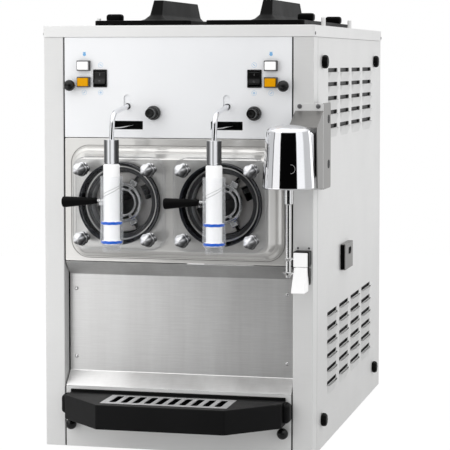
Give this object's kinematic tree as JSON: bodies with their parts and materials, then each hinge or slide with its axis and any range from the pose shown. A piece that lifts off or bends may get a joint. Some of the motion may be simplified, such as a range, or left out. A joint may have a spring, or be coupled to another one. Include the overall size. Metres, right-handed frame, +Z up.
{
  "type": "soft serve machine",
  "caption": "Countertop soft serve machine with twin clear doors, swing-handle draw valves, lidded hoppers, a drip tray and a side drink spinner.",
  "frame": {"origin": "middle of the base pan's underside, the face the machine stands on", "axes": "+Z up, -Y out of the front towards the user, +X to the user's right (the spinner side)"},
  "size_m": [0.519, 0.914, 0.808],
  "materials": {
    "stainless": "brushed sheet",
    "control_panel": "satin printed sheet",
    "chrome": "polished",
    "clear_plastic": "clear moulded",
    "white_plastic": "smooth",
    "orange_plastic": "translucent lens",
    "black_plastic": "fine moulded grain",
    "rubber_seal": "satin",
    "blue_seal": "satin",
    "painted_iron": "painted",
    "aluminium": "mill"
  },
  "bodies": {
    "chassis": {"base_pan": "stainless", "front_post_left": "stainless", "front_post_right": "stainless", "top_cap": "stainless", "left_side_panel": "stainless", "right_side_panel": "stainless", "rear_panel": "stainless", "control_panel": "control_panel", "freezer_front_panel": "stainless", "splash_panel": "stainless", "lower_front_panel": "stainless", "hopper_left": "stainless", "hopper_right": "stainless", "freezing_cylinder_left": "stainless", "freezing_cylinder_right": "stainless", "door_left": "clear_plastic", "door_right": "clear_plastic", "door_gasket_left": "rubber_seal", "door_gasket_right": "rubber_seal", "gear_motor_left": "painted_iron", "gear_motor_right": "painted_iron", "compressor": "painted_iron", "condenser": "aluminium", "fan_motor": "painted_iron", "spinner_bracket": "stainless", "spinner_housing": "chrome", "cup_switch_box": "black_plastic", "power_inlet": "black_plastic", "door_nut_left_upper_outer": "chrome", "door_nut_left_upper_inner": "chrome", "door_nut_left_lower_outer": "chrome", "door_nut_left_lower_inner": "chrome", "door_nut_right_upper_outer": "chrome", "door_nut_right_upper_inner": "chrome", "door_nut_right_lower_outer": "chrome", "door_nut_right_lower_inner": "chrome"},
    "left_beater": {"beater_left": "stainless"},
    "left_valve_lift": {"draw_rod_left": "chrome"},
    "left_valve": {"valve_piston_left": "white_plastic", "draw_handle_left": "black_plastic"},
    "left_rocker": {"rocker_left": "black_plastic"},
    "left_white_button": {"white_button_left": "white_plastic"},
    "left_orange_button": {"orange_button_left": "orange_plastic"},
    "left_knob": {"consistency_knob_left": "black_plastic"},
    "left_lid": {"hopper_lid_left": "black_plastic"},
    "right_beater": {"beater_right": "stainless"},
    "right_valve_lift": {"draw_rod_right": "chrome"},
    "right_valve": {"valve_piston_right": "white_plastic", "draw_handle_right": "black_plastic"},
    "right_rocker": {"rocker_right": "black_plastic"},
    "right_white_button": {"white_button_right": "white_plastic"},
    "right_orange_button": {"orange_button_right": "orange_plastic"},
    "right_knob": {"consistency_knob_right": "black_plastic"},
    "right_lid": {"hopper_lid_right": "black_plastic"},
    "fan": {"condenser_fan": "aluminium"},
    "spinner": {"spinner_spindle": "stainless"},
    "flap": {"cup_flap": "white_plastic"},
    "tray": {"drip_tray": "black_plastic"},
    "grille": {"drip_grille": "stainless"},
    "drawer": {"drip_drawer": "stainless"}
  },
  "joints": [
    {"name": "left_beater_spin", "type": "hinge", "parent": "chassis", "child": "left_beater", "pos_m": [-0.091, -0.18, 0.445], "axis": [0, 1, 0], "continuous": true},
    {"name": "left_valve_slide", "type": "slide", "parent": "chassis", "child": "left_valve_lift", "axis": [0, 0, 1], "range_m": [0, 0.015]},
    {"name": "left_handle_turn", "type": "hinge", "parent": "left_valve_lift", "child": "left_valve", "pos_m": [-0.091, -0.475, 0.4538], "axis": [0, 0, 1], "range_deg": [0, 90]},
    {"name": "left_rocker_tilt", "type": "hinge", "parent": "chassis", "child": "left_rocker", "pos_m": [-0.1403, -0.376, 0.6625], "axis": [1, 0, 0], "range_deg": [0, 16]},
    {"name": "left_white_button_press", "type": "slide", "parent": "chassis", "child": "left_white_button", "axis": [0, 1, 0], "range_m": [0, 0.0025], "stiffness_N_per_m": 400},
    {"name": "left_orange_button_press", "type": "slide", "parent": "chassis", "child": "left_orange_button", "axis": [0, 1, 0], "range_m": [0, 0.0025], "stiffness_N_per_m": 400},
    {"name": "left_knob_turn", "type": "hinge", "parent": "chassis", "child": "left_knob", "pos_m": [-0.0415, -0.38, 0.602], "axis": [0, 1, 0], "range_deg": [-135, 135]},
    {"name": "left_lid_lift", "type": "slide", "parent": "chassis", "child": "left_lid", "axis": [0, 0, 1], "range_m": [0, 0.12]},
    {"name": "right_beater_spin", "type": "hinge", "parent": "chassis", "child": "right_beater", "pos_m": [0.091, -0.18, 0.445], "axis": [0, 1, 0], "continuous": true},
    {"name": "right_valve_slide", "type": "slide", "parent": "chassis", "child": "right_valve_lift", "axis": [0, 0, 1], "range_m": [0, 0.015]},
    {"name": "right_handle_turn", "type": "hinge", "parent": "right_valve_lift", "child": "right_valve", "pos_m": [0.091, -0.475, 0.4538], "axis": [0, 0, 1], "range_deg": [0, 90]},
    {"name": "right_rocker_tilt", "type": "hinge", "parent": "chassis", "child": "right_rocker", "pos_m": [0.1403, -0.376, 0.6625], "axis": [1, 0, 0], "range_deg": [0, 16]},
    {"name": "right_white_button_press", "type": "slide", "parent": "chassis", "child": "right_white_button", "axis": [0, 1, 0], "range_m": [0, 0.0025], "stiffness_N_per_m": 400},
    {"name": "right_orange_button_press", "type": "slide", "parent": "chassis", "child": "right_orange_button", "axis": [0, 1, 0], "range_m": [0, 0.0025], "stiffness_N_per_m": 400},
    {"name": "right_knob_turn", "type": "hinge", "parent": "chassis", "child": "right_knob", "pos_m": [0.1405, -0.38, 0.602], "axis": [0, 1, 0], "range_deg": [-135, 135]},
    {"name": "right_lid_lift", "type": "slide", "parent": "chassis", "child": "right_lid", "axis": [0, 0, 1], "range_m": [0, 0.12]},
    {"name": "fan_spin", "type": "hinge", "parent": "chassis", "child": "fan", "pos_m": [0.115, 0.298, 0.155], "axis": [0, 1, 0], "continuous": true},
    {"name": "spinner_spin", "type": "hinge", "parent": "chassis", "child": "spinner", "pos_m": [0.221, -0.48, 0.4], "axis": [0, 0, 1], "continuous": true},
    {"name": "flap_push", "type": "hinge", "parent": "chassis", "child": "flap", "pos_m": [0.2285, -0.406, 0.336], "axis": [1, 0, 0], "range_deg": [0, 25], "stiffness_Nm_per_rad": 0.05, "springref_deg": -17.19},
    {"name": "tray_pull", "type": "slide", "parent": "chassis", "child": "tray", "axis": [0, -1, 0], "range_m": [0, 0.13]},
    {"name": "grille_lift", "type": "slide", "parent": "tray", "child": "grille", "axis": [0, 0, 1], "range_m": [0, 0.06]},
    {"name": "drawer_pull", "type": "slide", "parent": "chassis", "child": "drawer", "axis": [1, 0, 0], "range_m": [0, 0.22]}
  ],
  "couplings": [
    {"joint": "left_valve_slide", "follows": "left_handle_turn", "m_per_rad": 0.009549},
    {"joint": "right_valve_slide", "follows": "right_handle_turn", "m_per_rad": 0.009549}
  ]
}
